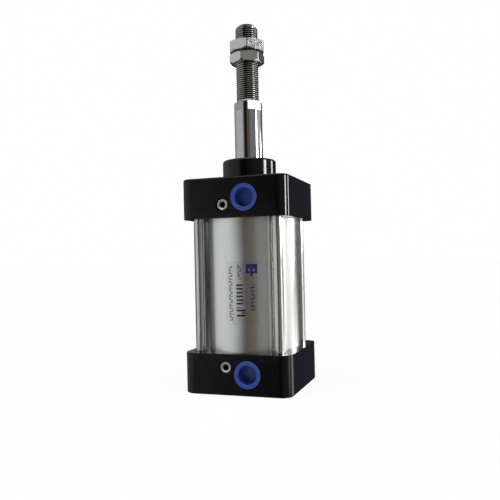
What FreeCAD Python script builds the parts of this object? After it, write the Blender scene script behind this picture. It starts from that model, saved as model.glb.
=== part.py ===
import FreeCAD, Part
import math
import os

# A double-acting pneumatic cylinder with tie rods, 63 mm bore by 50 mm stroke, rod retracted.
# +Z runs up along the rod, and the origin is the centre of the rear cover's outer face.
# The air ports and the cushion screws face -Y. Lengths are in millimetres, angles in degrees.

# --- driving dimensions ---
bore_diameter = 63.0
stroke = 50.0
body_length = 145.0
cover_square = 75.0
cover_length = 27.5
cover_corner_radius = 7.5
cover_edge_radius = 1.2

boss_diameter = 38.0
boss_length = 15.0
boss_edge_radius = 1.5

barrel_wall = 2.5
spigot_length = 8.0
spigot_clearance = 0.05

tie_rod_pitch = 56.0
tie_rod_shank_diameter = 7.1
tie_rod_thread_diameter = 8.0
tie_rod_thread_length = 10.7
tie_rod_hole_diameter = 8.5

sleeve_nut_diameter = 13.0
sleeve_nut_length = 22.0
sleeve_nut_recess = 0.8
sleeve_nut_clearance = 0.1
sleeve_nut_chamfer = 0.5
sleeve_nut_socket_flats = 9.0
sleeve_nut_socket_depth = 4.0
mounting_thread_bore = 6.8
mounting_thread_depth = 10.0

rod_diameter = 20.0
rod_bare_length = 42.0
rod_thread_diameter = 16.0
rod_thread_length = 55.0
rod_thread_tip_chamfer = 2.0
rod_thread_free_length = 11.0
rod_thread_relief = 0.2
rod_shoulder_chamfer = 0.8
rod_tail_diameter = 14.0
rod_tail_chamfer = 1.0
wrench_flat_width = 17.0
wrench_flat_length = 6.5
wrench_flat_angle = 50.0

nut_face_inset = 0.3
nut_chamfer_angle = 30.0
rod_nut_countersink = 0.7
upper_nut_flats = 24.0
upper_nut_height = 7.5
upper_nut_drop = 0.45
upper_nut_angle = 19.0
lower_nut_flats = 22.0
lower_nut_height = 7.0
lower_nut_drop = 1.2
lower_nut_angle = -2.0

piston_clearance = 0.3
end_gap = 0.1
running_clearance = 0.05
seat_clearance = 0.02
overlap = 1.0
edge_tolerance = 0.01

cushion_bore_diameter = 32.0
cushion_sleeve_diameter = 29.8
front_cushion_length = 16.0
rear_cushion_length = 14.0
cushion_lead_length = 3.0
cushion_lead = 0.8
cover_end_wall = 8.0
piston_nut_flats = 22.0
piston_nut_height = 8.0
rod_tail_overhang = 1.0

port_x = 8.4
port_height = 14.25
port_bore_diameter = 15.0
port_bore_depth = 14.0
port_passage_diameter = 10.0
port_passage_reach = 3.0

cushion_screw_x = -7.1
cushion_screw_height = 18.5
cushion_screw_head_diameter = 8.4
cushion_screw_head_length = 3.0
cushion_screw_recess = 1.2
cushion_screw_recess_diameter = 9.0
cushion_screw_shank_diameter = 6.0
cushion_screw_socket_flats = 4.0
cushion_screw_seat_depth = 17.5
cushion_screw_socket_depth = 2.6
cushion_screw_cone_length = 2.1
cushion_screw_tip_share = 0.7
cushion_screw_edge = 0.5
cushion_screw_gap = 0.3
cushion_screw_tip_gap = 0.1

plug_flange_diameter = 18.1
plug_flange_thickness = 1.2
plug_body_diameter = 14.7
plug_cup_diameter = 12.7
plug_depth = 8.5
plug_floor = 1.2
plug_gap = 0.05
plug_edge = 0.35
plug_taper = 0.2
plug_end_chamfer = 0.4
plug_cup_taper = 0.3
plug_cup_fillet = 0.5

label_arc = 37.0
label_centre_angle = 6.8
label_bottom = 46.5
label_height = 42.5
label_thickness = 0.12

# --- worked out from the driving dimensions ---
half_cover = cover_square / 2
front_cover_base = body_length - cover_length
boss_top = body_length + boss_length
bore_radius = bore_diameter / 2
barrel_radius = bore_radius + barrel_wall
spigot_radius = bore_radius - spigot_clearance
rear_spigot_top = cover_length + spigot_length
front_spigot_bottom = front_cover_base - spigot_length
mid_height = body_length / 2

rod_radius = rod_diameter / 2
shoulder_height = boss_top + rod_bare_length
rod_tip = shoulder_height + rod_thread_length
thread_radius = rod_thread_diameter / 2

piston_bottom = rear_spigot_top + end_gap
piston_top = front_spigot_bottom - end_gap - stroke
piston_middle = (piston_bottom + piston_top) / 2
piston_radius = bore_radius - piston_clearance
cushion_sleeve_radius = cushion_sleeve_diameter / 2
cushion_bore_radius = cushion_bore_diameter / 2
piston_nut_top = piston_bottom - rear_cushion_length
piston_nut_bottom = piston_nut_top - piston_nut_height
rod_tail_end = piston_nut_bottom - rod_tail_overhang

UP = FreeCAD.Vector(0, 0, 1)
CENTRE = FreeCAD.Vector(0, 0, 0)


def cylinder(radius, bottom, top, x=0.0, y=0.0):
    """An upright cylinder between two heights."""
    return Part.makeCylinder(radius, top - bottom, FreeCAD.Vector(x, y, bottom), UP)


def ring(outer, inner, bottom, top):
    """A plain tube around the rod's axis."""
    return cylinder(outer, bottom, top).cut(cylinder(inner, bottom, top))


def turned(outline):
    """The solid swept by a closed outline of (radius, height) points turned round the Z axis."""
    points = [FreeCAD.Vector(radius, 0, height) for radius, height in outline]
    face = Part.Face(Part.makePolygon(points + points[:1]))
    return face.revolve(CENTRE, UP, 360)


def hexagon(flats, bottom, top):
    """A hexagonal prism with a corner towards +X."""
    corner = flats / math.sqrt(3)
    points = [
        FreeCAD.Vector(corner * math.cos(math.radians(60 * i)), corner * math.sin(math.radians(60 * i)), bottom)
        for i in range(7)
    ]
    return Part.Face(Part.makePolygon(points)).extrude(UP * (top - bottom))


def chamfered_hexagon(flats, bottom, top):
    """A hexagonal prism whose corners are turned off at both ends."""
    corner = flats / math.sqrt(3)
    face_radius = flats / 2 - nut_face_inset
    drop = (corner - face_radius) * math.tan(math.radians(nut_chamfer_angle))
    cone = turned([
        (0, bottom),
        (face_radius, bottom),
        (corner, bottom + drop),
        (corner, top - drop),
        (face_radius, top),
        (0, top),
    ])
    return hexagon(flats, bottom, top).common(cone)


def facing_ports(shape, x, height):
    """Lays an upright shape down so that its +Z end points out of the port face, at its place there."""
    laid = shape.copy()
    laid.rotate(CENTRE, FreeCAD.Vector(1, 0, 0), 90)
    laid.translate(FreeCAD.Vector(x, -half_cover, height))
    return laid


def to_front(shape):
    """The same piece at the front end: covers and their fittings mirror about the body's middle."""
    return shape.mirror(FreeCAD.Vector(0, 0, mid_height), UP)


def corner_places():
    """The four tie rods' axes, in order round the body."""
    half = tie_rod_pitch / 2
    return [(-half, -half), (half, -half), (half, half), (-half, half)]


# --- covers ---
barrel_seal_section = 1.86
barrel_seal_groove_bottom = 29.5
barrel_seal_groove_width = 2.2
barrel_seal_inset = 4.7
barrel_seal_height = cover_length + barrel_seal_inset
cushion_seal_inset = 4.9
cushion_seal_bottom = rear_spigot_top - cushion_seal_inset
cushion_seal_width = 3.0
cushion_seal_gap = 0.1
cushion_seal_chamfer = 0.9
cushion_seal_outer = 17.5
cushion_seal_inner = cushion_sleeve_radius + cushion_seal_gap
needle_passage_radius = 1.2
needle_passage_setback = 1.6
orifice_radius = 1.0
orifice_reach = 5.0
ejector_mark_radius = 6.5
ejector_mark_depth = 0.15
ejector_mark_drop = 7.0
screw_recess_floor = cushion_screw_recess + cushion_screw_head_length + cushion_screw_gap
screw_bore_radius = cushion_screw_shank_diameter / 2 + running_clearance


def cover_block():
    """The square cover with rounded upright corners and a softened outer face, and its spigot."""
    block = Part.makeBox(cover_square, cover_square, cover_length, FreeCAD.Vector(-half_cover, -half_cover, 0))
    upright = [edge for edge in block.Edges if edge.BoundBox.ZLength > cover_length - edge_tolerance]
    block = block.makeFillet(cover_corner_radius, upright)
    outer = [edge for edge in block.Edges if edge.BoundBox.ZMax < edge_tolerance]
    block = block.makeFillet(cover_edge_radius, outer)
    return block.fuse(cylinder(spigot_radius, cover_length - overlap, rear_spigot_top))


def cover_tie_rod_holes():
    """A through hole for each tie rod and a counterbore for its sleeve nut."""
    depth = sleeve_nut_recess + sleeve_nut_length
    for x, y in corner_places():
        yield cylinder(tie_rod_hole_diameter / 2, 0, cover_length, x, y)
        yield cylinder(sleeve_nut_diameter / 2 + sleeve_nut_clearance, 0, depth, x, y)


def cover_air_ways():
    """The port, its passage into the cushion bore, and the bores that the cushion screw throttles."""
    bore = cylinder(port_bore_diameter / 2, -port_bore_depth, overlap)
    passage_end = cushion_bore_radius - port_passage_reach - half_cover
    passage = cylinder(port_passage_diameter / 2, passage_end, 0)
    yield facing_ports(bore, port_x, port_height)
    yield facing_ports(passage, port_x, port_height)
    recess = cylinder(cushion_screw_recess_diameter / 2, -screw_recess_floor, overlap)
    screw_bore = cylinder(screw_bore_radius, -cushion_screw_seat_depth, 0)
    orifice = cylinder(orifice_radius, cushion_bore_radius - orifice_reach - half_cover, 0)
    for shape in (recess, screw_bore, orifice):
        yield facing_ports(shape, cushion_screw_x, cushion_screw_height)
    passage_y = -half_cover + cushion_screw_seat_depth - needle_passage_setback
    passage_top = rear_spigot_top + overlap
    yield cylinder(needle_passage_radius, cushion_screw_height, passage_top, cushion_screw_x, passage_y)


def cover_common():
    """A cover with everything that the two ends share, as the rear one sits."""
    cuts = [cylinder(cushion_bore_radius, cover_end_wall, rear_spigot_top + overlap)]
    inside = cushion_bore_radius - overlap
    cuts.append(ring(cushion_seal_outer, inside, cushion_seal_bottom, cushion_seal_bottom + cushion_seal_width))
    groove_bottom = barrel_seal_height - barrel_seal_groove_width / 2
    groove_top = groove_bottom + barrel_seal_groove_width
    cuts.append(ring(bore_radius + overlap, barrel_seal_groove_bottom, groove_bottom, groove_top))
    cuts.extend(cover_tie_rod_holes())
    cuts.extend(cover_air_ways())
    return cover_block().cut(cuts)


def rear_cover():
    """The closed cover, with a shallow round mark left by the casting die beside the cushion screw."""
    mark = cylinder(ejector_mark_radius, -ejector_mark_depth, overlap)
    mark = facing_ports(mark, cushion_screw_x, cushion_screw_height - ejector_mark_drop)
    return cover_common().cut(mark)


# --- the rod's bush and seals in the front cover ---
bush_outer = 13.0
bush_bottom = body_length - cover_end_wall
bush_length = 12.0
bush_lead = 0.6
gland_radius = 14.0
gland_gap = 0.1
gland_bottom = bush_bottom + bush_length
rod_seal_length = 5.3
lip_wall_share = 0.36
lip_valley_share = 0.45
wiper_bottom = gland_bottom + rod_seal_length + 2 * gland_gap
wiper_relief = 0.8
wiper_face_drop = 0.3
wiper_lip_root = 2.2
wiper_lip_width = 0.5
wiper_lip_depth = 1.0
wiper_lip_height = 0.8


def front_cover():
    """The cover that the rod passes through, with its round boss."""
    boss = cylinder(boss_diameter / 2, body_length - overlap, boss_top)
    rim = [edge for edge in boss.Edges if edge.BoundBox.ZMin > body_length]
    boss = boss.makeFillet(boss_edge_radius, rim)
    shape = to_front(cover_common()).fuse(boss)
    bush_seat = cylinder(bush_outer + seat_clearance, bush_bottom - overlap, gland_bottom + overlap)
    gland = cylinder(gland_radius, gland_bottom, boss_top + overlap)
    return shape.cut([bush_seat, gland]).removeSplitter()


def rod_bush():
    """The plain bearing that guides the rod, with lead-in chamfers."""
    bottom, top = bush_bottom, bush_bottom + bush_length
    inner = rod_radius + running_clearance
    return turned([
        (inner + bush_lead, bottom),
        (bush_outer, bottom),
        (bush_outer, top),
        (inner + bush_lead, top),
        (inner, top - bush_lead),
        (inner, bottom + bush_lead),
    ])


def lip_seal(inner, outer, heel, lips):
    """A U-section ring from its flat heel to its two lips, which point the way of the pressure."""
    direction = 1 if lips > heel else -1
    wall = (outer - inner) * lip_wall_share
    middle = (inner + outer) / 2
    valley = lips - direction * abs(lips - heel) * lip_valley_share
    return turned([
        (inner, heel),
        (outer, heel),
        (outer, lips),
        (outer - wall, lips),
        (middle, valley),
        (inner + wall, lips),
        (inner, lips),
    ])


def rod_seal():
    """The pressure seal around the rod, its lips towards the cylinder's inside."""
    inner = rod_radius + running_clearance + seat_clearance
    heel = gland_bottom + rod_seal_length
    return lip_seal(inner, gland_radius - seat_clearance, heel, gland_bottom + gland_gap)


def rod_wiper():
    """The scraper ring at the mouth of the boss, with a thin lip along the rod."""
    inner = rod_radius + running_clearance
    outer = gland_radius - seat_clearance
    face = boss_top - wiper_face_drop
    lip_bottom = boss_top - wiper_lip_depth
    return turned([
        (inner + wiper_relief, wiper_bottom),
        (outer, wiper_bottom),
        (outer, face),
        (inner + wiper_lip_root, face),
        (inner + wiper_lip_width, boss_top + wiper_lip_height),
        (inner, boss_top + wiper_lip_height),
        (inner, lip_bottom),
        (inner + wiper_relief, lip_bottom - wiper_relief),
    ])


def cushion_seal():
    """The ring at the mouth of the cushion bore that closes on the cushion sleeve."""
    bottom = cushion_seal_bottom + cushion_seal_gap
    top = cushion_seal_bottom + cushion_seal_width - cushion_seal_gap
    outer = cushion_seal_outer - cushion_seal_gap
    return turned([
        (cushion_seal_inner, bottom + cushion_seal_chamfer),
        (cushion_seal_inner + cushion_seal_chamfer, bottom),
        (outer, bottom),
        (outer, top),
        (cushion_seal_inner + cushion_seal_chamfer, top),
        (cushion_seal_inner, top - cushion_seal_chamfer),
    ])


def barrel_seal():
    """The O-ring that seals a cover's spigot in the barrel."""
    section = barrel_seal_section / 2
    centre_radius = barrel_seal_groove_bottom + section + seat_clearance
    return Part.makeTorus(centre_radius, section, FreeCAD.Vector(0, 0, barrel_seal_height), UP)


# --- barrel, tie rods and sleeve nuts ---
def barrel():
    """The drawn aluminium tube between the covers."""
    return ring(barrel_radius, bore_radius, cover_length, front_cover_base)


def tie_rod(x, y):
    """One tie rod: a rolled shank with a larger thread at each end."""
    low_end = sleeve_nut_recess + sleeve_nut_socket_depth + mounting_thread_depth
    high_end = body_length - low_end
    thread = tie_rod_thread_diameter / 2 - seat_clearance
    rod = cylinder(tie_rod_shank_diameter / 2, low_end, high_end, x, y)
    rod = rod.fuse([
        cylinder(thread, low_end, low_end + tie_rod_thread_length, x, y),
        cylinder(thread, high_end - tie_rod_thread_length, high_end, x, y),
    ])
    return rod.removeSplitter()


def sleeve_nut(x, y):
    """A rear sleeve nut: a wrench socket, then the mounting thread, then the tie rod's thread."""
    bottom = sleeve_nut_recess
    socket_top = bottom + sleeve_nut_socket_depth
    thread_top = socket_top + mounting_thread_depth
    top = bottom + sleeve_nut_length
    outer = cylinder(sleeve_nut_diameter / 2, bottom, top)
    rims = [edge for edge in outer.Edges if edge.BoundBox.ZLength < edge_tolerance]
    outer = outer.makeChamfer(sleeve_nut_chamfer, rims)
    nut = outer.cut([
        hexagon(sleeve_nut_socket_flats, bottom - overlap, socket_top),
        cylinder(mounting_thread_bore / 2, socket_top - overlap, thread_top + overlap),
        cylinder(tie_rod_thread_diameter / 2, thread_top, top + overlap),
    ])
    nut.translate(FreeCAD.Vector(x, y, 0))
    return nut


# --- piston and rod ---
piston_seal_width = 4.5
piston_seal_inset = 3.0
piston_seal_gap = 0.1
piston_seal_groove_radius = 26.5
piston_edge = 1.0
wear_ring_width = 6.0
wear_ring_groove_radius = 29.3
wear_ring_split = 1.2
piston_o_ring_section = 1.76
piston_o_ring_room = 0.3
piston_o_ring_groove_radius = 8.9


def piston_seal_span():
    """Bottom and top of the rear piston seal's groove."""
    bottom = piston_bottom + piston_seal_inset
    return bottom, bottom + piston_seal_width


def piston_seal():
    """The rear piston seal, its lips towards the rear chamber."""
    bottom, top = piston_seal_span()
    outer = bore_radius - 2 * running_clearance
    inner = piston_seal_groove_radius + seat_clearance
    return lip_seal(inner, outer, top - piston_seal_gap, bottom + piston_seal_gap)


def across_piston(shape):
    """The same piece on the other side of the piston's middle plane."""
    return shape.mirror(FreeCAD.Vector(0, 0, piston_middle), UP)


def piston():
    """The piston with grooves for two seals, the wear ring and the O-ring in its bore."""
    inner = rod_tail_diameter / 2 + running_clearance
    body = turned([
        (inner, piston_bottom),
        (piston_radius - piston_edge, piston_bottom),
        (piston_radius, piston_bottom + piston_edge),
        (piston_radius, piston_top - piston_edge),
        (piston_radius - piston_edge, piston_top),
        (inner, piston_top),
    ])
    bottom, top = piston_seal_span()
    rear_groove = ring(bore_radius, piston_seal_groove_radius, bottom, top)
    half_width = wear_ring_width / 2 + running_clearance
    guide_groove = ring(
        bore_radius, wear_ring_groove_radius, piston_middle - half_width, piston_middle + half_width
    )
    half_section = piston_o_ring_section / 2 + piston_o_ring_room
    inner_groove = ring(
        piston_o_ring_groove_radius, inner - overlap, piston_middle - half_section, piston_middle + half_section
    )
    return body.cut([rear_groove, across_piston(rear_groove), guide_groove, inner_groove])


def piston_o_ring():
    """The O-ring between the piston and the rod's tail."""
    section = piston_o_ring_section / 2
    centre_radius = piston_o_ring_groove_radius - section - seat_clearance
    return Part.makeTorus(centre_radius, section, FreeCAD.Vector(0, 0, piston_middle), UP)


def wear_ring():
    """The split guide ring on the piston. It slides with the piston, and the piston can turn in it."""
    half_width = wear_ring_width / 2
    outer = bore_radius - running_clearance
    inner = wear_ring_groove_radius + running_clearance
    shape = ring(outer, inner, piston_middle - half_width, piston_middle + half_width)
    split = Part.makeBox(
        wear_ring_split,
        bore_diameter,
        wear_ring_width,
        FreeCAD.Vector(-wear_ring_split / 2, 0, piston_middle - half_width),
    )
    return shape.cut(split)


def front_cushion_sleeve():
    """The sleeve on the rod in front of the piston that enters the front cushion bore."""
    top = piston_top + front_cushion_length
    return turned([
        (rod_radius + seat_clearance, piston_top),
        (cushion_sleeve_radius, piston_top),
        (cushion_sleeve_radius, top - cushion_lead_length),
        (cushion_sleeve_radius - cushion_lead, top),
        (rod_radius + seat_clearance, top),
    ])


def rear_cushion_sleeve():
    """The sleeve behind the piston that enters the rear cushion bore."""
    return turned([
        (rod_tail_diameter / 2 + seat_clearance, piston_nut_top),
        (cushion_sleeve_radius - cushion_lead, piston_nut_top),
        (cushion_sleeve_radius, piston_nut_top + cushion_lead_length),
        (cushion_sleeve_radius, piston_bottom),
        (rod_tail_diameter / 2 + seat_clearance, piston_bottom),
    ])


def piston_nut():
    """The nut that clamps the piston and both sleeves against the rod's shoulder."""
    nut = chamfered_hexagon(piston_nut_flats, piston_nut_bottom, piston_nut_top)
    return nut.cut(cylinder(rod_tail_diameter / 2 + seat_clearance, piston_nut_bottom, piston_nut_top))


def piston_rod():
    """The rod: tail through the piston, ground shaft, wrench flats, and the threaded front end.

    The thread is a plain cylinder. The stretch that the nuts run on is a little smaller than the
    free stretch above them, which is the one that takes a mating part.
    """
    tail = rod_tail_diameter / 2
    running_thread = thread_radius - rod_thread_relief
    free_bottom = rod_tip - rod_thread_free_length
    rod = turned([
        (0, rod_tail_end),
        (tail - rod_tail_chamfer, rod_tail_end),
        (tail, rod_tail_end + rod_tail_chamfer),
        (tail, piston_top),
        (rod_radius, piston_top),
        (rod_radius, shoulder_height - rod_shoulder_chamfer),
        (rod_radius - rod_shoulder_chamfer, shoulder_height),
        (running_thread, shoulder_height),
        (running_thread, free_bottom),
        (thread_radius, free_bottom),
        (thread_radius, rod_tip - rod_thread_tip_chamfer),
        (thread_radius - rod_thread_tip_chamfer, rod_tip),
        (0, rod_tip),
    ])
    return rod.cut(wrench_flat_cut())


def wrench_flat_cut():
    """What is milled off the rod to leave four flats just under its shoulder."""
    bottom = shoulder_height - wrench_flat_length
    half = wrench_flat_width / 2
    square = Part.makeBox(
        wrench_flat_width, wrench_flat_width, wrench_flat_length, FreeCAD.Vector(-half, -half, bottom)
    )
    square.rotate(CENTRE, UP, wrench_flat_angle)
    return cylinder(rod_radius + overlap, bottom, shoulder_height).cut(square)


# --- rod nuts ---
upper_nut_top = rod_tip - rod_thread_free_length - upper_nut_drop
lower_nut_top = upper_nut_top - upper_nut_height - lower_nut_drop


def rod_nut(flats, height, top, angle):
    """A thin hexagon nut with its bore and countersinks, one corner at an angle from the port side."""
    bottom = top - height
    bore = thread_radius + running_clearance
    sink = rod_nut_countersink
    nut = chamfered_hexagon(flats, bottom, top)
    nut = nut.cut(turned([
        (0, bottom),
        (bore + sink, bottom),
        (bore, bottom + sink),
        (bore, top - sink),
        (bore + sink, top),
        (0, top),
    ]))
    nut.rotate(CENTRE, UP, angle - 90)
    return nut


# --- cushion screws and port plugs ---
screw_ring_section = 0.9
screw_ring_depth = 9.0
screw_ring_groove_radius = 2.0


def cushion_screw():
    """The needle screw that throttles the cushion air, with a hexagon socket in its head."""
    head = cushion_screw_head_diameter / 2
    shank = cushion_screw_shank_diameter / 2
    head_top = -cushion_screw_recess
    head_bottom = head_top - cushion_screw_head_length
    tip = -cushion_screw_seat_depth - cushion_screw_tip_gap
    edge = cushion_screw_edge
    half_groove = screw_ring_section / 2 + running_clearance
    body = turned([
        (0, head_top),
        (head - edge, head_top),
        (head, head_top - edge),
        (head, head_bottom),
        (shank, head_bottom),
        (shank, -screw_ring_depth + half_groove),
        (screw_ring_groove_radius, -screw_ring_depth + half_groove),
        (screw_ring_groove_radius, -screw_ring_depth - half_groove),
        (shank, -screw_ring_depth - half_groove),
        (shank, tip + cushion_screw_cone_length),
        (orifice_radius * cushion_screw_tip_share, tip),
        (0, tip),
    ])
    socket = hexagon(cushion_screw_socket_flats, head_top - cushion_screw_socket_depth, head_top + overlap)
    return facing_ports(body.cut(socket), cushion_screw_x, cushion_screw_height)


def cushion_screw_ring():
    """The small O-ring in the screw's groove. It travels with the screw without turning."""
    section = screw_ring_section / 2
    centre_radius = screw_ring_groove_radius + section + running_clearance
    shape = Part.makeTorus(centre_radius, section, FreeCAD.Vector(0, 0, -screw_ring_depth), UP)
    return facing_ports(shape, cushion_screw_x, cushion_screw_height)


def port_plug():
    """The push-in plastic plug that keeps a port clean: a flange and a hollow, slightly tapered cup."""
    flange = plug_flange_diameter / 2
    body = plug_body_diameter / 2
    cup = plug_cup_diameter / 2
    top = plug_gap + plug_flange_thickness
    cup_floor = -plug_depth + plug_floor
    cup_foot = cup - plug_cup_taper
    body_foot = body - plug_taper
    shape = turned([
        (0, -plug_depth),
        (body_foot - plug_end_chamfer, -plug_depth),
        (body_foot, -plug_depth + plug_end_chamfer),
        (body, plug_gap),
        (flange - plug_edge, plug_gap),
        (flange, plug_gap + plug_edge),
        (flange, top - plug_edge),
        (flange - plug_edge, top),
        (cup + plug_edge, top),
        (cup, top - plug_edge),
        (cup_foot, cup_floor + plug_cup_fillet),
        (cup_foot - plug_cup_fillet, cup_floor),
        (0, cup_floor),
    ])
    return facing_ports(shape, port_x, port_height)


# --- label ---
def label():
    """The thin curved label on the barrel's port side."""
    band = ring(
        barrel_radius + label_thickness, barrel_radius, label_bottom, label_bottom + label_height
    )
    half = math.radians(label_arc / 2)
    reach = barrel_radius * 2
    wedge = Part.makePolygon([
        FreeCAD.Vector(0, 0, label_bottom),
        FreeCAD.Vector(-reach * math.tan(half), -reach, label_bottom),
        FreeCAD.Vector(reach * math.tan(half), -reach, label_bottom),
        FreeCAD.Vector(0, 0, label_bottom),
    ])
    piece = band.common(Part.Face(wedge).extrude(UP * label_height))
    piece.rotate(CENTRE, UP, label_centre_angle)
    return piece


def all_pieces():
    """Every node's name with its solid."""
    pieces = {
        "rear_cover": rear_cover(),
        "front_cover": front_cover(),
        "barrel": barrel(),
        "rod_bush": rod_bush(),
        "rod_seal": rod_seal(),
        "rod_wiper": rod_wiper(),
        "label": label(),
        "wear_ring": wear_ring(),
        "piston_rod": piston_rod(),
        "piston": piston(),
        "piston_o_ring": piston_o_ring(),
        "cushion_sleeve_front": front_cushion_sleeve(),
        "cushion_sleeve_rear": rear_cushion_sleeve(),
        "piston_nut": piston_nut(),
        "rod_nut_upper": rod_nut(upper_nut_flats, upper_nut_height, upper_nut_top, upper_nut_angle),
        "rod_nut_lower": rod_nut(lower_nut_flats, lower_nut_height, lower_nut_top, lower_nut_angle),
        "piston_seal_rear": piston_seal(),
        "piston_seal_front": across_piston(piston_seal()),
    }
    both_ends = {
        "barrel_seal": barrel_seal(),
        "cushion_seal": cushion_seal(),
        "cushion_screw": cushion_screw(),
        "cushion_screw_ring": cushion_screw_ring(),
        "port_plug": port_plug(),
    }
    for name, shape in both_ends.items():
        pieces[name + "_rear"] = shape
        pieces[name + "_front"] = to_front(shape)
    for number, (x, y) in enumerate(corner_places(), start=1):
        pieces[f"tie_rod_{number}"] = tie_rod(x, y)
        pieces[f"tie_rod_nut_rear_{number}"] = sleeve_nut(x, y)
        pieces[f"tie_rod_nut_front_{number}"] = to_front(sleeve_nut(x, y))
    return pieces


os.makedirs("parts", exist_ok=True)
for name, shape in all_pieces().items():
    solids = shape.Solids
    if len(solids) != 1 or not shape.isValid():
        raise RuntimeError(f"{name} has {len(solids)} solids or isn't valid")
    solids[0].exportStep(f"parts/{name}.step")
    box = solids[0].BoundBox
    print(f"{name:24s} {solids[0].Volume:10.1f} mm3  z {box.ZMin:8.2f} to {box.ZMax:8.2f}")
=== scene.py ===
"""The looks of a tie rod air cylinder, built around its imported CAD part. Lengths are in metres."""

import math
from collections import namedtuple

import bmesh
import bpy
from mathutils import Matrix, Vector


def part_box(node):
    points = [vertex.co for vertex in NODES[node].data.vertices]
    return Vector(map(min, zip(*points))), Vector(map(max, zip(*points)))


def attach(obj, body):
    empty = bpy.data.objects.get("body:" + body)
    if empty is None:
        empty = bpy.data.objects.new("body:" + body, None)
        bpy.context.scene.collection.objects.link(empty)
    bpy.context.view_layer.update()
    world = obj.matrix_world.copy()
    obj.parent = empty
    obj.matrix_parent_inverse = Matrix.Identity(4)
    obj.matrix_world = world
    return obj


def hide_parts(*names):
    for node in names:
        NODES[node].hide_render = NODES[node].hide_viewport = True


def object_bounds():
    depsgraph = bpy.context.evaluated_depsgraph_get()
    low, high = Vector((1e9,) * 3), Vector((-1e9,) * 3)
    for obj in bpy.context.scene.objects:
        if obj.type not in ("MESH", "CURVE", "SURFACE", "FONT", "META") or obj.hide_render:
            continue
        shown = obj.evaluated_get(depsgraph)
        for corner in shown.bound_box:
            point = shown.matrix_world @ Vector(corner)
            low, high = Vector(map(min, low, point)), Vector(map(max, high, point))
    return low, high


MM = 0.001
UP = Vector((0, 0, 1))

# --- camera, as azimuth from -Y towards +X, elevation and roll in degrees ---
CAMERA_AZIMUTH = 19.0
CAMERA_ELEVATION = -0.7
CAMERA_ROLL = -1.25
CAMERA_DISTANCE = 436.2 * MM
CAMERA_TARGET = Vector((-0.9 * MM, 0, 96.35 * MM))
SENSOR_WIDTH = 36.0
LENS = 43.75

# --- the studio ---
# A panel shines from an azimuth, at full strength half_width to either side and fading over edge beyond that.
# It spans the elevations low to high and fades over fade past them. All are degrees. An upright surface mirrors
# the elevation it is seen at, which is about -13 to -9 on the rear cover, -9 to 4 on the barrel, 4 to 8 on the
# front cover, 7 to 9 on the boss, 9 to 15 on the bare rod and 15 to 21 on the thread and the rod nuts.
Panel = namedtuple("Panel", "azimuth half_width edge low high fade strength colour")
PANELS = [
    # the large soft light on the left, nearer the camera's side for the barrel than above and below it
    Panel(-66.5, 26.5, 28, 4, 60, 2, 0.54, (0.96, 1.0, 0.99)),
    Panel(-44, 22, 28, -7, 2, 2, 0.66, (0.98, 1.0, 0.98)),
    Panel(-66.5, 26.5, 28, -60, -9, 2, 0.50, (0.96, 1.0, 0.99)),
    # the wall behind on the left, for the rod, the thread and the nuts
    Panel(-138, 20, 12, 9, 45, 3, 0.28, (1.0, 1.0, 1.0)),
    # the dim, warm camera side and the wall to the right of it
    Panel(18, 9, 5, -60, 60, 10, 0.09, (1.2, 1.0, 0.75)),
    Panel(53, 20, 6, -60, 60, 10, 0.205, (0.98, 1.0, 0.99)),
    # the window on the right: a line and a broad glow for the barrel, then the line for the parts above it,
    # brightest at the elevations of the front cover and the boss
    Panel(91, 3, 2, -12, 2, 2, 2.0, (1.0, 1.0, 1.0)),
    Panel(104, 18, 20, -12, 2, 2, 0.74, (1.0, 1.0, 0.96)),
    Panel(87.5, 4, 3, 4, 15.5, 1.5, 7.0, (1.0, 1.0, 1.0)),
    Panel(91, 4, 2, 4, 10, 2, 23.0, (1.0, 1.0, 1.0)),
    Panel(91, 4, 2, 18.5, 42, 2, 3.0, (1.0, 1.0, 1.0)),
    # the right wall beyond the window, with narrow streaks for the boss and for the covers' corners
    Panel(113, 12, 4, 4, 45, 2, 0.22, (1.0, 1.0, 0.98)),
    Panel(132.5, 3, 3, 4, 10, 2, 3.5, (1.0, 1.0, 0.96)),
    Panel(125, 22, 6, 11.5, 45, 1.5, 0.38, (1.0, 1.0, 0.97)),
    Panel(132.5, 3, 3, -14, -9, 2, 3.5, (1.0, 1.0, 0.96)),
    Panel(133.5, 4, 3, 2, 10, 2, 8.0, (1.0, 1.0, 0.96)),
    Panel(148, 4, 3, -60, -8, 5, 1.6, (1.0, 1.0, 0.96)),
    # the dim, bluish back of the room, which the covers' right faces mirror
    Panel(163, 14, 5, -60, 45, 10, 0.045, (0.85, 0.9, 1.3)),
    # the light overhead
    Panel(0, 75, 12, 52, 85, 6, 1.6, (1.0, 1.0, 1.0)),
    # the pale floor, as it shows in surfaces that face down
    Panel(161, 70, 20, -85, -28, 6, 0.45, (1.0, 1.0, 0.98)),
]
ROOM_GLOW = 0.010
BACKDROP_WHITE = 0.99
FLOOR_GLOW = 0.93
FLOOR_COLOUR = 0.1
FLOOR_SIZE = 30.0

# --- the rod's M16 x 1.5 thread ---
THREAD_PITCH = 1.5 * MM
THREAD_CREST = 8.0 * MM
THREAD_DEPTH = 0.9 * MM
THREAD_CORNERS = (0.0, 0.22, 0.56, 0.66)
THREAD_RUN_OUT = 1.3 * MM
THREAD_START = 0.5 * MM
NUT_THREAD_GAP = 0.12 * MM
TIP_CHAMFER = 2.0 * MM
CENTRE_HOLE = 1.6 * MM

# --- the rod ---
SHOULDER_BELOW_TIP = 55.0 * MM
SHOULDER_CHAMFER = 0.8 * MM
FLAT_LENGTH = 6.5 * MM
FLAT_WIDTH = 17.0 * MM
FLAT_ANGLE = 50.0
TAIL_RADIUS = 7.0 * MM
TAIL_CHAMFER = 1.0 * MM
TAIL_LENGTH = 46.8 * MM
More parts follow.
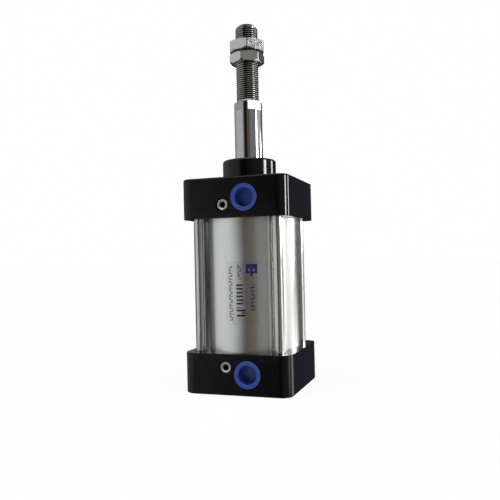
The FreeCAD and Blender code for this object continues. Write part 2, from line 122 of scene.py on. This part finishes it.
# where the bands of the rod's outline change finish, and the material slot of each
CHROME_END = 6
FLATS_END = 8
CHROME_SLOT, MILLED_SLOT, THREADED_SLOT = range(3)

# --- the rod nuts ---
Nut = namedtuple("Nut", "node body flats bearing")
ROD_NUTS = [
    Nut("rod_nut_upper", "upper_nut", 24.0 * MM, 19.0),
    Nut("rod_nut_lower", "lower_nut", 22.0 * MM, -2.0),
]
NUT_FACE_INSET = 0.3 * MM
NUT_CHAMFER = math.radians(30)
NUT_CORNER_ROUNDING = 0.18 * MM
NUT_SINK = 0.7 * MM

# --- the rim round the socket of a cushion screw ---
RING_INNER = 2.4 * MM
RING_OUTER = 3.9 * MM
RING_RISE = 0.6 * MM
RING_STEPS = 8

# --- label print: lines of plain blocks, bearings in degrees and heights above the label's low edge ---
PrintLine = namedtuple("PrintLine", "left right low high blocks share ink")
PRINT_LINES = [
    PrintLine(-7.8, -3.3, 2.9 * MM, 39.5 * MM, 19, 0.40, "print_blue"),
    PrintLine(2.6, 7.2, 30.2 * MM, 40.2 * MM, 6, 0.40, "print_blue"),
    PrintLine(1.1, 8.6, 13.5 * MM, 28.2 * MM, 6, 0.80, "print_black"),
    PrintLine(1.1, 10.8, 5.5 * MM, 12.3 * MM, 2, 0.60, "print_black"),
    PrintLine(17.3, 21.8, 9.5 * MM, 26.8 * MM, 7, 0.60, "print_blue"),
]
BLOCK_BAR = 0.55
RIGHT_BAR_EVERY = 3
SYMBOL_LEFT = 12.4
SYMBOL_RIGHT = 25.1
SYMBOL_LOW = 31.8 * MM
SYMBOL_BODY_LOW = 34.0 * MM
SYMBOL_HIGH = 40.1 * MM
SYMBOL_LINE = 1.5 * MM
PRINT_THICKNESS = 0.02 * MM
PRINT_STEP = 2

# --- materials ---
# the usual reach of a noise, spread over a range of roughness
NOISE_LOW = 0.3
NOISE_HIGH = 0.7
# thread: shares of its depth where the painted shade in the roots is full and the steel fully bright, and of
# the tip's chamfer
ROOT_SHADE_DEPTH_SHARE = 0.8
BRIGHT_DEPTH_SHARE = 0.3
TIP_BRIGHT_SHARE = 0.9
# cushion screws: how far behind their face the painted shade of the socket and round the head starts and is
# full
SOCKET_SHADE_START = 0.1 * MM
SOCKET_SHADE_FULL = 0.5 * MM
# moulded: sizes of the colour drift and the uneven gloss in grains, and how far the gloss varies
DRIFT_GRAINS = 6
GLOSS_GRAINS = 2
GLOSS_SPREAD = 0.15
# moulded: name, dark and light colour, roughness, grain, grain depth
MOULDINGS = {
    "rubber": ("black_rubber", (0.008, 0.008, 0.008), (0.02, 0.02, 0.02), 0.55, 0.3 * MM, 0.006 * MM),
    "polyurethane": ("polyurethane", (0.012, 0.013, 0.016), (0.03, 0.032, 0.038), 0.4, 0.5 * MM, 0.004 * MM),
    "guide": ("guide_plastic", (0.30, 0.28, 0.22), (0.42, 0.39, 0.31), 0.5, 0.3 * MM, 0.004 * MM),
    "blue": ("blue_plastic", (0.022, 0.050, 0.27), (0.030, 0.062, 0.33), 0.34, 0.5 * MM, 0.006 * MM),
    "print_blue": ("print_blue", (0.006, 0.004, 0.07), (0.012, 0.008, 0.11), 0.45, 0.2 * MM, 0.001 * MM),
    "print_black": ("print_black", (0.001, 0.001, 0.002), (0.004, 0.004, 0.005), 0.45, 0.2 * MM, 0.001 * MM),
}

TURN = 2 * math.pi
STEPS_ROUND = 96
SMALLEST_STEP = TURN / STEPS_ROUND / 5
SHARP_ANGLE = math.radians(28)
MERGE_DISTANCE = 1e-6


# ---------------------------------------------------------------- node trees
class Tree:
    """Short calls for laying out one node tree."""

    def __init__(self, tree):
        self.tree = tree
        self.tree.nodes.clear()

    def node(self, kind, **settings):
        made = self.tree.nodes.new(kind)
        for key, value in settings.items():
            setattr(made, key, value)
        return made

    def put(self, socket, value):
        """Links a socket to another node's output, or sets its constant."""
        if isinstance(value, bpy.types.NodeSocket):
            self.tree.links.new(value, socket)
        else:
            socket.default_value = value

    def math(self, operation, a, b=0.0):
        made = self.node("ShaderNodeMath", operation=operation)
        self.put(made.inputs[0], a)
        self.put(made.inputs[1], b)
        return made.outputs[0]

    def vector(self, operation, a, b=(0, 0, 0)):
        made = self.node("ShaderNodeVectorMath", operation=operation)
        self.put(made.inputs[0], a)
        self.put(made.inputs[1], b)
        return made.outputs["Value"] if operation in ("DOT_PRODUCT", "LENGTH") else made.outputs[0]

    def part(self, vector, axis):
        """The X, Y or Z part of a vector."""
        made = self.node("ShaderNodeSeparateXYZ")
        self.put(made.inputs[0], vector)
        return made.outputs[axis]

    def place(self):
        """The piece's own coordinates."""
        return self.node("ShaderNodeTexCoord").outputs["Object"]

    def remap(self, value, low, high, to_low=0.0, to_high=1.0, smooth=False):
        kind = "SMOOTHSTEP" if smooth else "LINEAR"
        made = self.node("ShaderNodeMapRange", interpolation_type=kind)
        for name, number in zip(("Value", "From Min", "From Max", "To Min", "To Max"),
                                (value, low, high, to_low, to_high)):
            self.put(made.inputs[name], number)
        return made.outputs[0]

    def spread(self, noise, to_low, to_high):
        """A noise's usual reach, spread from one value to another."""
        return self.remap(noise, NOISE_LOW, NOISE_HIGH, to_low, to_high)

    def mix_colour(self, factor, a, b):
        made = self.node("ShaderNodeMix", data_type="RGBA")
        self.put(made.inputs["Factor"], factor)
        self.put(made.inputs["A"], a)
        self.put(made.inputs["B"], b)
        return made.outputs["Result"]

    def noise(self, size, stretch=(1, 1, 1), detail=2.0, rough=0.5):
        """Noise in the piece's own coordinates, with features about this size, stretched along the axes."""
        scaled = self.vector("MULTIPLY", self.place(), tuple(1 / (size * s) for s in stretch))
        made = self.node("ShaderNodeTexNoise")
        self.put(made.inputs["Vector"], scaled)
        self.put(made.inputs["Scale"], 1.0)
        self.put(made.inputs["Detail"], detail)
        self.put(made.inputs["Roughness"], rough)
        return made.outputs[0]

    def bump(self, height, depth, below=None):
        made = self.node("ShaderNodeBump")
        self.put(made.inputs["Strength"], 1.0)
        self.put(made.inputs["Distance"], depth)
        self.put(made.inputs["Height"], height)
        if below is not None:
            self.put(made.inputs["Normal"], below)
        return made.outputs[0]


def rgb(red, green, blue):
    return (red, green, blue, 1.0)


class Principled(Tree):
    """The node tree of a new material with one Principled shader, whose constants are given by name."""

    def __init__(self, name, **constants):
        self.material = bpy.data.materials.new(name)
        self.material.use_nodes = True
        super().__init__(self.material.node_tree)
        self.shader = self.node("ShaderNodeBsdfPrincipled")
        for key, value in constants.items():
            self.put(self.shader.inputs[key.replace("_", " ")], value)
        out = self.node("ShaderNodeOutputMaterial")
        self.put(out.inputs["Surface"], self.shader.outputs[0])

    def surface(self, colour, roughness, normal):
        """Gives the shader what varies over the surface, and returns the material."""
        self.put(self.shader.inputs["Base Color"], colour)
        self.put(self.shader.inputs["Roughness"], roughness)
        self.put(self.shader.inputs["Normal"], normal)
        return self.material


def black_enamel():
    """Glossy black stoved enamel over a casting: orange peel, slow waviness and dull dust specks."""
    tree = Principled("black_enamel", IOR=1.4)
    specks = tree.remap(tree.noise(0.5 * MM, detail=1.0), 0.66, 0.74)
    wave = tree.bump(tree.noise(9 * MM, detail=1.0), 0.05 * MM)
    return tree.surface(
        tree.mix_colour(specks, rgb(0.002, 0.002, 0.0022), rgb(0.010, 0.010, 0.011)),
        tree.spread(tree.noise(4 * MM), 0.07, 0.13),
        tree.bump(tree.noise(1.1 * MM, detail=3.0), 0.008 * MM, wave),
    )


def anodised_aluminium():
    """Satin clear anodising on a drawn tube, with faint lines along the tube."""
    tree = Principled("anodised_aluminium", Metallic=1.0)
    lines = tree.noise(0.35 * MM, stretch=(1, 1, 60))
    cloud = tree.noise(14 * MM, stretch=(1, 1, 2))
    return tree.surface(
        tree.mix_colour(cloud, rgb(0.84, 0.85, 0.84), rgb(0.92, 0.925, 0.91)),
        tree.remap(lines, 0.25, 0.75, 0.26, 0.275),
        tree.bump(tree.noise(0.12 * MM), 0.0012 * MM),
    )


def drawn_steel():
    """Bright chromed bar of the tie rods, with long shallow drawing waves."""
    tree = Principled("drawn_steel", Metallic=1.0)
    tint = tree.noise(5 * MM, stretch=(1, 1, 4))
    return tree.surface(
        tree.mix_colour(tint, rgb(0.58, 0.58, 0.585), rgb(0.72, 0.72, 0.71)),
        tree.spread(tree.noise(1 * MM, stretch=(1, 1, 12)), 0.07, 0.17),
        tree.bump(tree.noise(2.2 * MM, stretch=(1, 1, 9), detail=3.0), 0.09 * MM),
    )


def hard_chrome():
    """Ground and hard-chromed rod, with hair-fine marks round it."""
    tree = Principled("hard_chrome", Metallic=1.0)
    marks = tree.noise(0.25 * MM, stretch=(30, 30, 1))
    return tree.surface(
        tree.mix_colour(tree.noise(8 * MM), rgb(0.60, 0.605, 0.61), rgb(0.66, 0.665, 0.665)),
        tree.spread(marks, 0.03, 0.08),
        tree.bump(tree.noise(3 * MM, stretch=(1, 1, 8)), 0.003 * MM),
    )


def milled_steel():
    """Bare steel of the wrench flats, with milling marks across them."""
    tree = Principled("milled_steel", Metallic=1.0)
    marks = tree.noise(0.3 * MM, stretch=(20, 20, 1))
    return tree.surface(
        tree.mix_colour(marks, rgb(0.42, 0.42, 0.40), rgb(0.62, 0.62, 0.60)),
        tree.spread(tree.noise(0.6 * MM), 0.2, 0.34),
        tree.bump(marks, 0.0015 * MM),
    )


def threaded_steel():
    """Bare steel of the cut thread, bright on the crests and the tip's chamfer, with painted shade in the
    roots.
    """
    tree = Principled("threaded_steel", Metallic=1.0)
    place = tree.place()
    across = tree.vector("LENGTH", tree.vector("MULTIPLY", place, (1, 1, 0)))
    shade_full_below = THREAD_CREST - THREAD_DEPTH * ROOT_SHADE_DEPTH_SHARE
    bright_above = THREAD_CREST - THREAD_DEPTH * BRIGHT_DEPTH_SHARE
    crest = tree.remap(across, shade_full_below, bright_above)
    chamfer_low = ROD_HIGH - TIP_CHAMFER
    chamfer_bright = ROD_HIGH - TIP_CHAMFER * TIP_BRIGHT_SHARE
    tip = tree.remap(tree.part(place, "Z"), chamfer_low, chamfer_bright)
    steel = tree.mix_colour(tree.noise(1.2 * MM, detail=4.0), rgb(0.54, 0.535, 0.50), rgb(0.84, 0.83, 0.80))
    return tree.surface(
        # the roots are painted near black as shade, which stays off the crests and the tip's chamfer
        tree.mix_colour(tree.math("MAXIMUM", crest, tip), rgb(0.035, 0.034, 0.03), steel),
        tree.spread(tree.noise(0.5 * MM), 0.12, 0.22),
        tree.bump(tree.noise(0.2 * MM), 0.001 * MM),
    )


def zinc_plate():
    """Bright zinc on the rod nuts: fine spangle, duller patches and forging texture."""
    tree = Principled("zinc_plate", Metallic=1.0)
    spangle = tree.noise(0.55 * MM, detail=4.0, rough=0.7)
    return tree.surface(
        tree.mix_colour(tree.remap(spangle, 0.35, 0.65), rgb(0.60, 0.62, 0.61), rgb(0.86, 0.87, 0.85)),
        tree.spread(tree.noise(1.6 * MM, detail=3.0), 0.14, 0.24),
        tree.bump(spangle, 0.014 * MM),
    )


def bright_nickel():
    """Dull nickel of the cushion screws, with painted shade in the socket and round the head."""
    tree = Principled("bright_nickel", Metallic=1.0)
    grime = tree.noise(0.7 * MM, detail=3.0)
    metal = tree.mix_colour(grime, rgb(0.78, 0.74, 0.64), rgb(0.99, 0.96, 0.90))
    socket_shade = tree.remap(tree.part(tree.place(), "Y"), SCREW_FACE + SOCKET_SHADE_START, SCREW_FACE + SOCKET_SHADE_FULL)
    return tree.surface(
        # near black behind the face: painted shade in the socket and the recess round the head
        tree.mix_colour(socket_shade, metal, rgb(0.004, 0.004, 0.004)),
        tree.spread(grime, 0.6, 0.45),
        tree.bump(tree.noise(0.3 * MM), 0.01 * MM),
    )


def machined_steel():
    """Turned steel of the sleeve nuts and the piston's lock nut."""
    tree = Principled("machined_steel", Metallic=1.0)
    marks = tree.noise(0.4 * MM, detail=3.0)
    return tree.surface(
        tree.mix_colour(marks, rgb(0.48, 0.48, 0.47), rgb(0.70, 0.70, 0.69)),
        tree.spread(marks, 0.22, 0.36),
        tree.bump(marks, 0.006 * MM),
    )


def turned_aluminium():
    """Turned aluminium of the piston and cushion sleeves."""
    tree = Principled("turned_aluminium", Metallic=1.0)
    marks = tree.noise(0.3 * MM, stretch=(25, 25, 1))
    return tree.surface(
        tree.mix_colour(marks, rgb(0.72, 0.73, 0.73), rgb(0.86, 0.87, 0.87)),
        tree.spread(marks, 0.24, 0.36),
        tree.bump(marks, 0.004 * MM),
    )


def bronze():
    """Sintered bronze of the rod bush."""
    tree = Principled("bronze", Metallic=1.0)
    pores = tree.noise(0.25 * MM, detail=4.0)
    return tree.surface(
        tree.mix_colour(pores, rgb(0.36, 0.21, 0.09), rgb(0.66, 0.42, 0.20)),
        tree.spread(pores, 0.45, 0.3),
        tree.bump(pores, 0.01 * MM),
    )


def label_film():
    """A clear film over the anodising: the same satin metal under a smoother, slightly darker skin."""
    tree = Principled("label_film", Metallic=1.0, Coat_Weight=0.2, Coat_Roughness=0.2)
    haze = tree.noise(1.5 * MM, detail=3.0)
    return tree.surface(
        tree.mix_colour(haze, rgb(0.78, 0.78, 0.78), rgb(0.85, 0.85, 0.845)),
        tree.spread(haze, 0.24, 0.30),
        tree.bump(tree.noise(2.5 * MM), 0.004 * MM),
    )


def moulded(name, dark, light, roughness, grain, depth):
    """A moulded rubber, plastic or ink: slight colour drift, uneven gloss, fine grain."""
    tree = Principled(name, IOR=1.5)
    drift = tree.noise(grain * DRIFT_GRAINS, detail=3.0)
    gloss = tree.noise(grain * GLOSS_GRAINS)
    return tree.surface(
        tree.mix_colour(drift, rgb(*dark), rgb(*light)),
        tree.spread(gloss, roughness * (1 - GLOSS_SPREAD), roughness * (1 + GLOSS_SPREAD)),
        tree.bump(tree.noise(grain, detail=3.0), depth),
    )


def make_materials():
    """Every material by name."""
    made = {
        "enamel": black_enamel(),
        "anodised": anodised_aluminium(),
        "drawn": drawn_steel(),
        "chrome": hard_chrome(),
        "milled": milled_steel(),
        "threaded": threaded_steel(),
        "zinc": zinc_plate(),
        "nickel": bright_nickel(),
        "steel": machined_steel(),
        "aluminium": turned_aluminium(),
        "bronze": bronze(),
        "film": label_film(),
    }
    for short_name, look in MOULDINGS.items():
        made[short_name] = moulded(*look)
    return made


# ---------------------------------------------------------------- meshes
def new_piece(name, mesh_data, materials):
    """A smooth-shaded object with its sharp edges marked."""
    mesh = bpy.data.meshes.new(name)
    mesh_data.to_mesh(mesh)
    mesh_data.free()
    for material in materials:
        mesh.materials.append(material)
    mesh.shade_smooth()
    mesh.set_sharp_from_angle(angle=SHARP_ANGLE)
    piece = bpy.data.objects.new(name, mesh)
    bpy.context.scene.collection.objects.link(piece)
    return piece


def lathe(name, column, angles, materials, finish_of=None, loop=False):
    """A closed surface round +Z. column(angle) gives the same number of (radius, height) points at each angle.

    The last angle is a full turn past the first, so a helix closes onto its own next turn there.
    """
    made = bmesh.new()
    columns = []
    for angle in angles:
        points = column(angle)
        if loop:
            points = points + points[:1]
        cosine, sine = math.cos(angle), math.sin(angle)
        columns.append([made.verts.new((radius * cosine, radius * sine, height)) for radius, height in points])
    for left, right in zip(columns, columns[1:]):
        for row in range(len(left) - 1):
            face = made.faces.new((left[row], right[row], right[row + 1], left[row + 1]))
            if finish_of:
                face.material_index = finish_of(row)
    bmesh.ops.remove_doubles(made, verts=made.verts, dist=MERGE_DISTANCE)
    bmesh.ops.dissolve_degenerate(made, edges=made.edges, dist=MERGE_DISTANCE)
    bmesh.ops.recalc_face_normals(made, faces=made.faces)
    return new_piece(name, made, materials)


def round_angles(extra=()):
    """Even steps of a whole turn with any extra angles worked in, the first one repeated a turn later."""
    even = [TURN * step / STEPS_ROUND for step in range(STEPS_ROUND)]
    extra = [angle % TURN for angle in extra]
    kept = [angle for angle in even if all(abs(angle - other) > SMALLEST_STEP for other in extra)]
    angles = sorted(kept + extra)
    return angles + [angles[0] + TURN]


def bearing(degrees):
    """The plane angle from +X of a bearing measured from -Y towards +X."""
    return math.radians(degrees - 90)


def thread_profile(phase):
    """Depth below the crest at a share of the pitch: root, rising flank, crest, falling flank."""
    root_end, crest_start, crest_end = THREAD_CORNERS[1:]
    if phase <= root_end:
        return THREAD_DEPTH
    if phase <= crest_start:
        return THREAD_DEPTH * (crest_start - phase) / (crest_start - root_end)
    if phase <= crest_end:
        return 0.0
    return THREAD_DEPTH * (phase - crest_end) / (1 - crest_end)


def thread_rows(low, high, angle, widen=0.0):
    """(radius, height) up a right-hand thread between two heights at one angle."""
    turn = angle / TURN
    rows = []
    first = math.floor(low / THREAD_PITCH) - 2
    last = math.ceil(high / THREAD_PITCH) + 1
    for lead in range(first, last):
        for corner in THREAD_CORNERS:
            height = THREAD_PITCH * (lead + corner + turn)
            depth = thread_profile(corner)
            if not low < height < high:
                height = min(max(height, low), high)
                depth = thread_profile((height / THREAD_PITCH - turn) % 1.0)
            rows.append((THREAD_CREST - depth + widen, height))
    return rows


# ---------------------------------------------------------------- the rod
def flat_radius(angle):
    """How far the rod's square section reaches at an angle, within its round."""
    quarter = math.pi / 2
    off = (angle - bearing(FLAT_ANGLE) + quarter / 2) % quarter - quarter / 2
    return min(ROD_RADIUS, FLAT_WIDTH / 2 / math.cos(off))


def flat_corner_angles():
    """Where the flats run out into the round."""
    half = math.acos(FLAT_WIDTH / 2 / ROD_RADIUS)
    centres = [bearing(FLAT_ANGLE + 90 * number) for number in range(4)]
    return [centre + side * half for centre in centres for side in (-1, 1)]


def rod_column(angle):
    """The rod's outline at one angle, from the tail's centre to the tip's centre."""
    low, high = ROD_LOW, ROD_HIGH
    shoulder = high - SHOULDER_BELOW_TIP
    reach = flat_radius(angle)
    chamfer_start = shoulder - SHOULDER_CHAMFER
    chamfer_meets = min(shoulder, chamfer_start + ROD_RADIUS - reach)
    rows = [
        (0.0, low),
        (TAIL_RADIUS - TAIL_CHAMFER, low),
        (TAIL_RADIUS, low + TAIL_CHAMFER),
        (TAIL_RADIUS, low + TAIL_LENGTH),
        (ROD_RADIUS, low + TAIL_LENGTH),
        (ROD_RADIUS, shoulder - FLAT_LENGTH),
        (reach, shoulder - FLAT_LENGTH),
        (reach, chamfer_meets),
        (min(reach, ROD_RADIUS - SHOULDER_CHAMFER), shoulder),
        (THREAD_CREST, shoulder),
    ]
    for radius, height in thread_rows(shoulder + THREAD_START, high, angle):
        cut = min(1.0, (height - shoulder) / THREAD_RUN_OUT)
        radius = THREAD_CREST - (THREAD_CREST - radius) * cut
        rows.append((min(radius, THREAD_CREST - TIP_CHAMFER + high - height), height))
    rows += [
        (THREAD_CREST - TIP_CHAMFER, high),
        (CENTRE_HOLE, high),
        (0.0, high - CENTRE_HOLE * math.sqrt(3)),
    ]
    return rows


def rod_finish(row):
    """Which material a band of the rod's outline has: chrome, milled flats or thread."""
    if row < CHROME_END:
        return CHROME_SLOT
    return MILLED_SLOT if row < FLATS_END else THREADED_SLOT


def make_rod(materials):
    rod = lathe(
        "threaded_piston_rod", rod_column, round_angles(flat_corner_angles()),
        [materials[name] for name in ("chrome", "milled", "threaded")], rod_finish,
    )
    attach(rod, "piston_and_rod")
    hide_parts("piston_rod")
    # the round between the flats keeps the chrome
    for face in rod.data.polygons:
        centre = face.center
        on_round = math.hypot(centre.x, centre.y) > ROD_RADIUS * math.cos(TURN / STEPS_ROUND)
        if on_round and face.material_index == MILLED_SLOT:
            face.material_index = CHROME_SLOT


# ---------------------------------------------------------------- rod nuts
def nut_column(flats, low, high, corner_angle):
    """A hexagon nut's outline at one angle, from the top face round the outside and up the threaded bore."""
    corner = flats / math.sqrt(3) - NUT_CORNER_ROUNDING
    face_radius = flats / 2 - NUT_FACE_INSET
    sixth = TURN / 6
    bore = THREAD_CREST + NUT_THREAD_GAP

    def column(angle):
        off = (angle - corner_angle) % sixth - sixth / 2
        reach = min(corner, flats / 2 / math.cos(off))
        drop = (reach - face_radius) * math.tan(NUT_CHAMFER)
        rows = [
            (bore + NUT_SINK, high),
            (face_radius, high),
            (reach, high - drop),
            (reach, low + drop),
            (face_radius, low),
            (bore + NUT_SINK, low),
            (bore, low + NUT_SINK),
        ]
        rows += thread_rows(low + NUT_SINK, high - NUT_SINK, angle, NUT_THREAD_GAP)
        rows.append((bore, high - NUT_SINK))
        return rows

    return column


def make_nut(nut, material):
    low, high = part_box(nut.node)
    corner_angle = bearing(nut.bearing)
    corners = [corner_angle + TURN / 6 * number for number in range(6)]
    half = math.acos(nut.flats / 2 / (nut.flats / math.sqrt(3) - NUT_CORNER_ROUNDING))
    ends = [corner + side * (TURN / 12 - half) for corner in corners for side in (-1, 1)]
    column = nut_column(nut.flats, low.z, high.z, corner_angle)
    piece = lathe(nut.node + "_threaded", column, round_angles(corners + ends), [material], loop=True)
    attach(piece, nut.body)
    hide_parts(nut.node)


# ---------------------------------------------------------------- cushion screws
def make_screw_ring(end, material):
    """The raised, rounded rim round the socket of a cushion screw's head."""
    low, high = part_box("cushion_screw_" + end)
    centre = Vector(((low.x + high.x) / 2, low.y, (low.z + high.z) / 2))
    middle = (RING_INNER + RING_OUTER) / 2
    half = (RING_OUTER - RING_INNER) / 2
    arc = [math.pi * step / RING_STEPS for step in range(RING_STEPS + 1)]
    rows = [(middle + half * math.cos(turn), RING_RISE * math.sin(turn)) for turn in arc]
    ring = lathe("screw_rim_" + end, lambda angle: rows, round_angles(), [material], loop=True)
    ring.data.transform(Matrix.Translation(centre) @ Matrix.Rotation(math.pi / 2, 4, "X"))
    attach(ring, "cushion_needle_" + end)


# ---------------------------------------------------------------- label print
def print_tile(made, radius, left, right, bottom, top):
    """Adds one curved patch of ink between two bearings in degrees and two heights."""
    steps = max(1, round(abs(right - left) / PRINT_STEP))
    inner, outer = [], []
    for step in range(steps + 1):
        angle = bearing(left + (right - left) * step / steps)
        for row, reach in ((inner, radius), (outer, radius + PRINT_THICKNESS)):
            x, y = reach * math.cos(angle), reach * math.sin(angle)
            row.append([made.verts.new((x, y, z)) for z in (bottom, top)])
    for i in range(steps):
        for row in (inner, outer):
            made.faces.new((row[i][0], row[i + 1][0], row[i + 1][1], row[i][1]))
        for end in (0, 1):
            made.faces.new((inner[i][end], inner[i + 1][end], outer[i + 1][end], outer[i][end]))
    for i in (0, steps):
        made.faces.new((inner[i][0], inner[i][1], outer[i][1], outer[i][0]))


def block_tiles(line):
    """A greeked line: blocks of one full bar and one half bar, every third half bar on the right."""
    pitch = (line.high - line.low) / line.blocks
    middle = (line.left + line.right) / 2
    tiles = []
    for number in range(line.blocks):
        low = line.low + pitch * number
        bar_top = low + pitch * line.share * BLOCK_BAR
        half_low = bar_top + pitch * line.share * (1 - BLOCK_BAR)
        half_top = low + pitch * (1 + line.share) / 2
        sides = (line.left, middle) if number % RIGHT_BAR_EVERY else (middle, line.right)
        tiles.append((line.left, line.right, low, bar_top))
        tiles.append((*sides, half_low, half_top))
    return tiles


def symbol_tiles(radius):
    """The plain drawing symbol of a cylinder: a box, a piston line and a rod."""
    thick = math.degrees(SYMBOL_LINE / radius)
    left, right, low, high = SYMBOL_LEFT, SYMBOL_RIGHT, SYMBOL_BODY_LOW, SYMBOL_HIGH
    middle = (left + right) / 2
    piston = (low + high) / 2
    return [
        (left, left + thick, low, high),
        (right - thick, right, low, high),
        (left + thick, right - thick, high - SYMBOL_LINE, high),
        (left + thick, right - thick, low, low + SYMBOL_LINE),
        (left + thick, right - thick, piston, piston + SYMBOL_LINE),
        (middle - thick / 2, middle + thick / 2, low + SYMBOL_LINE, piston),
        (middle - thick / 2, middle + thick / 2, SYMBOL_LOW, low),
    ]


def make_print(name, tiles, radius, material):
    """Ink on the label, as (left, right, low, high) patches in degrees and metres above its low edge."""
    made = bmesh.new()
    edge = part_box("label")[0].z
    for left, right, low, high in tiles:
        print_tile(made, radius, left, right, edge + low, edge + high)
    bmesh.ops.recalc_face_normals(made, faces=made.faces)
    piece = new_piece(name, made, [material])
    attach(piece, "cylinder_body")


def make_label_prints(materials):
    radius = max(math.hypot(vertex.co.x, vertex.co.y) for vertex in NODES["label"].data.vertices)
    for number, line in enumerate(PRINT_LINES):
        make_print(f"label_line_{number}", block_tiles(line), radius, materials[line.ink])
    make_print("label_symbol", symbol_tiles(radius), radius, materials["print_blue"])


# ---------------------------------------------------------------- finishes of the CAD nodes
def finish_nodes(materials):
    """Gives every CAD node its material."""
    by_prefix = {
        "front_cover": "enamel",
        "rear_cover": "enamel",
        "barrel": "anodised",
        "barrel_seal": "rubber",
        "tie_rod": "drawn",
        "tie_rod_nut": "steel",
        "rod_bush": "bronze",
        "rod_seal": "polyurethane",
        "rod_wiper": "polyurethane",
        "cushion_seal": "polyurethane",
        "cushion_sleeve": "aluminium",
        "cushion_screw": "nickel",
        "cushion_screw_ring": "rubber",
        "piston": "aluminium",
        "piston_seal": "polyurethane",
        "piston_o_ring": "rubber",
        "piston_nut": "steel",
        "piston_rod": "chrome",
        "wear_ring": "guide",
        "rod_nut": "zinc",
        "port_plug": "blue",
        "label": "film",
    }
    for name, node in NODES.items():
        prefix = max((key for key in by_prefix if name.startswith(key)), key=len)
        node.data.materials.clear()
        node.data.materials.append(materials[by_prefix[prefix]])


# ---------------------------------------------------------------- studio
def panel_light(tree, place, panel):
    """One soft-edged panel of light as a colour over the directions of the world."""
    across = Vector((math.sin(math.radians(panel.azimuth)), -math.cos(math.radians(panel.azimuth)), 0))
    level = tree.vector("NORMALIZE", tree.vector("MULTIPLY", place, (1, 1, 0)))
    facing = tree.vector("DOT_PRODUCT", level, tuple(across))
    outer = math.cos(math.radians(panel.half_width + panel.edge))
    inner = math.cos(math.radians(panel.half_width))
    sideways = tree.remap(facing, outer, inner, smooth=True)
    height = tree.part(place, "Z")
    angles = (panel.low - panel.fade, panel.low, panel.high, min(90, panel.high + panel.fade))
    starts, full, still_full, ends = (math.sin(math.radians(angle)) for angle in angles)
    above = tree.remap(height, starts, full, smooth=True)
    below = tree.remap(height, still_full, ends, 1.0, 0.0, smooth=True)
    amount = tree.math("MULTIPLY", sideways, tree.math("MULTIPLY", above, below))
    colour = tuple(panel.strength * part for part in panel.colour)
    scaled = tree.node("ShaderNodeVectorMath", operation="SCALE")
    tree.put(scaled.inputs[0], colour)
    tree.put(scaled.inputs["Scale"], amount)
    return scaled.outputs[0]


def make_world():
    """A white backdrop for the camera, and a dim room with soft light panels for everything else."""
    world = bpy.data.worlds.new("studio")
    bpy.context.scene.world = world
    world.use_nodes = True
    tree = Tree(world.node_tree)
    place = tree.node("ShaderNodeTexCoord").outputs["Generated"]
    glow = (ROOM_GLOW, ROOM_GLOW, ROOM_GLOW)
    for panel in PANELS:
        glow = tree.vector("ADD", panel_light(tree, place, panel), glow)
    room = tree.node("ShaderNodeBackground")
    tree.put(room.inputs["Color"], glow)
    backdrop = tree.node("ShaderNodeBackground")
    tree.put(backdrop.inputs["Color"], rgb(BACKDROP_WHITE, BACKDROP_WHITE, BACKDROP_WHITE))
    mix = tree.node("ShaderNodeMixShader")
    tree.put(mix.inputs[0], tree.node("ShaderNodeLightPath").outputs["Is Camera Ray"])
    tree.put(mix.inputs[1], room.outputs[0])
    tree.put(mix.inputs[2], backdrop.outputs[0])
    out = tree.node("ShaderNodeOutputWorld")
    tree.put(out.inputs["Surface"], mix.outputs[0])


def make_floor(low):
    """A pale sheet that lights the object softly from below and takes a faint shadow."""
    mesh = bpy.data.meshes.new("floor")
    half = FLOOR_SIZE / 2
    corners = [(-half, -half, low), (half, -half, low), (half, half, low), (-half, half, low)]
    mesh.from_pydata(corners, [], [(0, 1, 2, 3)])
    floor = bpy.data.objects.new("floor", mesh)
    bpy.context.scene.collection.objects.link(floor)
    tree = Principled(
        "pale_floor", Roughness=1.0, Specular_IOR_Level=0.0,
        Base_Color=rgb(FLOOR_COLOUR, FLOOR_COLOUR, FLOOR_COLOUR),
        Emission_Color=rgb(1.0, 1.0, 1.0), Emission_Strength=FLOOR_GLOW,
    )
    mesh.materials.append(tree.material)
    floor.visible_glossy = False


def make_camera():
    """The camera at the photograph's viewing angle."""
    azimuth, elevation, roll = (math.radians(a) for a in (CAMERA_AZIMUTH, CAMERA_ELEVATION, CAMERA_ROLL))
    back = Vector((
        math.sin(azimuth) * math.cos(elevation), -math.cos(azimuth) * math.cos(elevation), math.sin(elevation),
    ))
    level = (-back).cross(UP).normalized()
    above = level.cross(-back)
    right = level * math.cos(roll) + above * math.sin(roll)
    up = above * math.cos(roll) - level * math.sin(roll)
    data = bpy.data.cameras.new("camera")
    data.sensor_width = SENSOR_WIDTH
    data.lens = LENS
    camera = bpy.data.objects.new("camera", data)
    turned = Matrix((right, up, back)).transposed().to_4x4()
    camera.matrix_world = Matrix.Translation(CAMERA_TARGET + back * CAMERA_DISTANCE) @ turned
    bpy.context.scene.collection.objects.link(camera)
    bpy.context.scene.camera = camera


# ---------------------------------------------------------------- the scene
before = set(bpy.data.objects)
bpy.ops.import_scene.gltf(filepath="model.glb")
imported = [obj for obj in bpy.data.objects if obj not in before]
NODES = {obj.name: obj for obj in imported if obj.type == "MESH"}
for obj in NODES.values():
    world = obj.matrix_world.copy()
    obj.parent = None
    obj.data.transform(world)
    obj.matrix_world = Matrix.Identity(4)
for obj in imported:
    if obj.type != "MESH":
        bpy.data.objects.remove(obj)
cad_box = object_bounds()
ROD_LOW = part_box("piston_rod")[0].z
ROD_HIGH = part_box("piston_rod")[1].z
ROD_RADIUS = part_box("piston_rod")[1].x
SCREW_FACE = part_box("cushion_screw_front")[0].y

bpy.context.scene.view_settings.view_transform = "Standard"
materials = make_materials()
finish_nodes(materials)
make_rod(materials)
for nut in ROD_NUTS:
    make_nut(nut, materials["zinc"])
for end in ("front", "rear"):
    make_screw_ring(end, materials["nickel"])
make_label_prints(materials)
make_world()
make_floor(cad_box[0].z)
make_camera()
